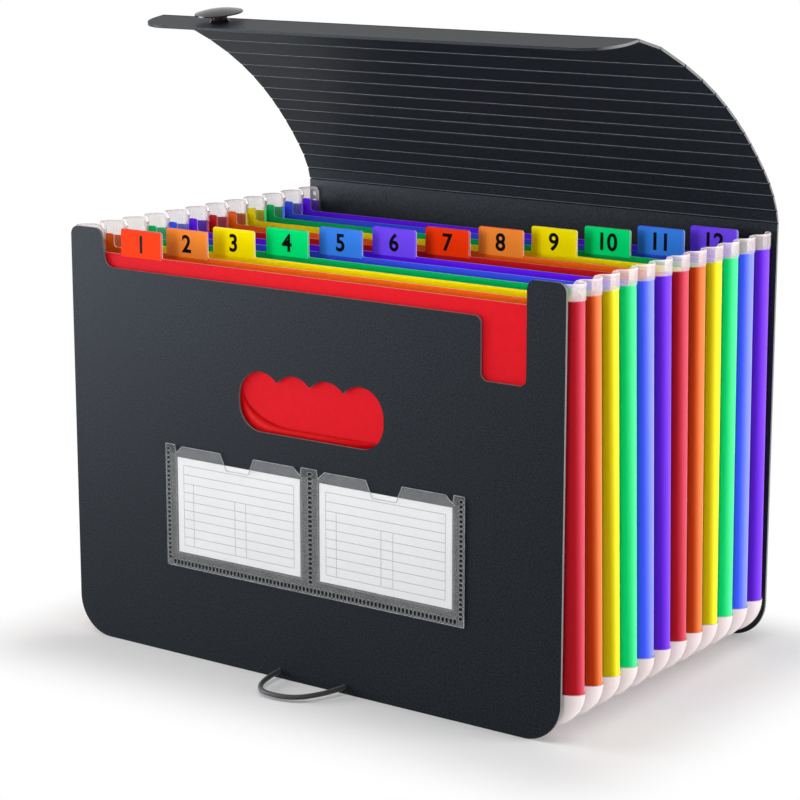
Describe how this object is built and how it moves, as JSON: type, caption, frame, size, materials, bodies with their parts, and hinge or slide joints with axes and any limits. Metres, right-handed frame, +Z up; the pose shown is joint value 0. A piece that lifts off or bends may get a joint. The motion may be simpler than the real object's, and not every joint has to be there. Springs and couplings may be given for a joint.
{
  "type": "expanding file folder",
  "caption": "Accordion file with a scored lid, tabbed coloured sheets in pleated film pockets, a card pocket, an elastic loop and a button.",
  "frame": {"origin": "middle of the footprint on the floor, halfway from the card pocket's face to the back cover's outer face", "axes": "+Z up, -Y out of the front cover, +X to the right seen from the front"},
  "size_m": [0.33, 0.2498, 0.3578],
  "materials": {
    "cover": "matt, fine sandy grain",
    "film": "clear film",
    "card_film": "clear film with weld dents",
    "card": "paper card",
    "elastic": "woven elastic cord",
    "stop": "satin",
    "button": "gloss",
    "sheet_red": "satin",
    "label_red": "paper label",
    "sheet_orange": "satin",
    "label_orange": "paper label",
    "sheet_yellow": "satin",
    "label_yellow": "paper label",
    "sheet_green": "satin",
    "label_green": "paper label",
    "sheet_blue": "satin",
    "label_blue": "paper label",
    "sheet_purple": "satin",
    "label_purple": "paper label"
  },
  "bodies": {
    "back": {"back_cover": "cover", "pleated_film": "film", "side_strips_red": "sheet_red", "side_strips_orange": "sheet_orange", "side_strips_yellow": "sheet_yellow", "side_strips_green": "sheet_green", "side_strips_blue": "sheet_blue", "side_strips_purple": "sheet_purple"},
    "front": {"front_cover": "cover", "card_pocket": "card_film", "card_left": "card", "card_right": "card", "elastic_loop": "elastic", "elastic_stops": "stop", "leaf_01": "sheet_red", "label_01": "label_red"},
    "sheet_02": {"leaf_02": "sheet_orange", "label_02": "label_orange"},
    "sheet_03": {"leaf_03": "sheet_yellow", "label_03": "label_yellow"},
    "sheet_04": {"leaf_04": "sheet_green", "label_04": "label_green"},
    "sheet_05": {"leaf_05": "sheet_blue", "label_05": "label_blue"},
    "sheet_06": {"leaf_06": "sheet_purple", "label_06": "label_purple"},
    "sheet_07": {"leaf_07": "sheet_red", "label_07": "label_red"},
    "sheet_08": {"leaf_08": "sheet_orange", "label_08": "label_orange"},
    "sheet_09": {"leaf_09": "sheet_yellow", "label_09": "label_yellow"},
    "sheet_10": {"leaf_10": "sheet_green", "label_10": "label_green"},
    "sheet_11": {"leaf_11": "sheet_blue", "label_11": "label_blue"},
    "sheet_12": {"leaf_12": "sheet_purple", "label_12": "label_purple"},
    "lid_01": {"lid_strip_01": "cover"},
    "lid_02": {"lid_strip_02": "cover"},
    "lid_03": {"lid_strip_03": "cover"},
    "lid_04": {"lid_strip_04": "cover"},
    "lid_05": {"lid_strip_05": "cover"},
    "lid_06": {"lid_strip_06": "cover"},
    "lid_07": {"lid_strip_07": "cover"},
    "lid_08": {"lid_strip_08": "cover"},
    "lid_09": {"lid_strip_09": "cover"},
    "lid_10": {"lid_strip_10": "cover"},
    "lid_11": {"lid_strip_11": "cover"},
    "lid_12": {"lid_strip_12": "cover"},
    "lid_flap_1": {"lid_flap_1": "cover"},
    "lid_flap_2": {"lid_flap_2": "cover"},
    "lid_tip": {"lid_tip": "cover", "lid_button": "button"}
  },
  "joints": [
    {"name": "accordion", "type": "slide", "parent": "back", "child": "front", "axis": [0, 1, 0], "range_m": [0, 0.18], "deforming": ["pleated_film", "side_strips_red", "side_strips_orange", "side_strips_yellow", "side_strips_green", "side_strips_blue", "side_strips_purple"]},
    {"name": "sheet_02_slide", "type": "slide", "parent": "back", "child": "sheet_02", "axis": [0, 1, 0], "range_m": [0, 0.1652]},
    {"name": "sheet_03_slide", "type": "slide", "parent": "back", "child": "sheet_03", "axis": [0, 1, 0], "range_m": [0, 0.1502]},
    {"name": "sheet_04_slide", "type": "slide", "parent": "back", "child": "sheet_04", "axis": [0, 1, 0], "range_m": [0, 0.1352]},
    {"name": "sheet_05_slide", "type": "slide", "parent": "back", "child": "sheet_05", "axis": [0, 1, 0], "range_m": [0, 0.1202]},
    {"name": "sheet_06_slide", "type": "slide", "parent": "back", "child": "sheet_06", "axis": [0, 1, 0], "range_m": [0, 0.1052]},
    {"name": "sheet_07_slide", "type": "slide", "parent": "back", "child": "sheet_07", "axis": [0, 1, 0], "range_m": [0, 0.0902]},
    {"name": "sheet_08_slide", "type": "slide", "parent": "back", "child": "sheet_08", "axis": [0, 1, 0], "range_m": [0, 0.0752]},
    {"name": "sheet_09_slide", "type": "slide", "parent": "back", "child": "sheet_09", "axis": [0, 1, 0], "range_m": [0, 0.0602]},
    {"name": "sheet_10_slide", "type": "slide", "parent": "back", "child": "sheet_10", "axis": [0, 1, 0], "range_m": [0, 0.0452]},
    {"name": "sheet_11_slide", "type": "slide", "parent": "back", "child": "sheet_11", "axis": [0, 1, 0], "range_m": [0, 0.0302]},
    {"name": "sheet_12_slide", "type": "slide", "parent": "back", "child": "sheet_12", "axis": [0, 1, 0], "range_m": [0, 0.0152]},
    {"name": "crease_01", "type": "hinge", "parent": "back", "child": "lid_01", "pos_m": [0, 0.11005, 0.242], "axis": [1, 0, 0], "range_deg": [0, 16.3]},
    {"name": "crease_02", "type": "hinge", "parent": "lid_01", "child": "lid_02", "pos_m": [0, 0.10798, 0.24921], "axis": [1, 0, 0], "range_deg": [0, 14.5]},
    {"name": "crease_03", "type": "hinge", "parent": "lid_02", "child": "lid_03", "pos_m": [0, 0.10344, 0.25812], "axis": [1, 0, 0], "range_deg": [0, 13.6]},
    {"name": "crease_04", "type": "hinge", "parent": "lid_03", "child": "lid_04", "pos_m": [0, 0.09835, 0.26554], "axis": [1, 0, 0], "range_deg": [0, 10.9]},
    {"name": "crease_05", "type": "hinge", "parent": "lid_04", "child": "lid_05", "pos_m": [0, 0.09174, 0.2737], "axis": [1, 0, 0], "range_deg": [-1.45, 0]},
    {"name": "crease_06", "type": "hinge", "parent": "lid_05", "child": "lid_06", "pos_m": [0, 0.08478, 0.28156], "axis": [1, 0, 0], "range_deg": [-3.7, 0]},
    {"name": "crease_07", "type": "hinge", "parent": "lid_06", "child": "lid_07", "pos_m": [0, 0.07749, 0.28911], "axis": [1, 0, 0], "range_deg": [-3.25, 0]},
    {"name": "crease_08", "type": "hinge", "parent": "lid_07", "child": "lid_08", "pos_m": [0, 0.07023, 0.296], "axis": [1, 0, 0], "range_deg": [-3.25, 0]},
    {"name": "crease_09", "type": "hinge", "parent": "lid_08", "child": "lid_09", "pos_m": [0, 0.06155, 0.30354], "axis": [1, 0, 0], "range_deg": [-3.25, 0]},
    {"name": "crease_10", "type": "hinge", "parent": "lid_09", "child": "lid_10", "pos_m": [0, 0.05131, 0.31155], "axis": [1, 0, 0], "range_deg": [-2.8, 0]},
    {"name": "crease_11", "type": "hinge", "parent": "lid_10", "child": "lid_11", "pos_m": [0, 0.04018, 0.31919], "axis": [1, 0, 0], "range_deg": [-2.8, 0]},
    {"name": "crease_12", "type": "hinge", "parent": "lid_11", "child": "lid_12", "pos_m": [0, 0.02647, 0.32743], "axis": [1, 0, 0], "range_deg": [-2.8, 0]},
    {"name": "crease_13", "type": "hinge", "parent": "lid_12", "child": "lid_flap_1", "pos_m": [0, 0.00954, 0.33606], "axis": [1, 0, 0], "range_deg": [-7.2, 0]},
    {"name": "crease_14", "type": "hinge", "parent": "lid_flap_1", "child": "lid_flap_2", "pos_m": [0, -0.0143, 0.34643], "axis": [1, 0, 0], "range_deg": [-13.6, 0]},
    {"name": "crease_15", "type": "hinge", "parent": "lid_flap_2", "child": "lid_tip", "pos_m": [0, -0.03468, 0.35151], "axis": [1, 0, 0], "range_deg": [-15.4, 0]}
  ],
  "couplings": [
    {"joint": "sheet_02_slide", "follows": "accordion", "ratio": 0.91667},
    {"joint": "sheet_03_slide", "follows": "accordion", "ratio": 0.83333},
    {"joint": "sheet_04_slide", "follows": "accordion", "ratio": 0.75},
    {"joint": "sheet_05_slide", "follows": "accordion", "ratio": 0.66667},
    {"joint": "sheet_06_slide", "follows": "accordion", "ratio": 0.58333},
    {"joint": "sheet_07_slide", "follows": "accordion", "ratio": 0.5},
    {"joint": "sheet_08_slide", "follows": "accordion", "ratio": 0.41667},
    {"joint": "sheet_09_slide", "follows": "accordion", "ratio": 0.33333},
    {"joint": "sheet_10_slide", "follows": "accordion", "ratio": 0.25},
    {"joint": "sheet_11_slide", "follows": "accordion", "ratio": 0.16667},
    {"joint": "sheet_12_slide", "follows": "accordion", "ratio": 0.083333},
    {"joint": "crease_01", "follows": "crease_13", "ratio": -2.25},
    {"joint": "crease_02", "follows": "crease_13", "ratio": -2},
    {"joint": "crease_03", "follows": "crease_13", "ratio": -1.875},
    {"joint": "crease_04", "follows": "crease_13", "ratio": -1.5},
    {"joint": "crease_05", "follows": "crease_13", "ratio": 0.1875},
    {"joint": "crease_06", "follows": "crease_13", "ratio": 0.5},
    {"joint": "crease_07", "follows": "crease_13", "ratio": 0.4375},
    {"joint": "crease_08", "follows": "crease_13", "ratio": 0.4375},
    {"joint": "crease_09", "follows": "crease_13", "ratio": 0.4375},
    {"joint": "crease_10", "follows": "crease_13", "ratio": 0.375},
    {"joint": "crease_11", "follows": "crease_13", "ratio": 0.375},
    {"joint": "crease_12", "follows": "crease_13", "ratio": 0.375},
    {"joint": "crease_14", "follows": "crease_13", "ratio": 1.875},
    {"joint": "crease_15", "follows": "crease_13", "ratio": 2.125}
  ]
}
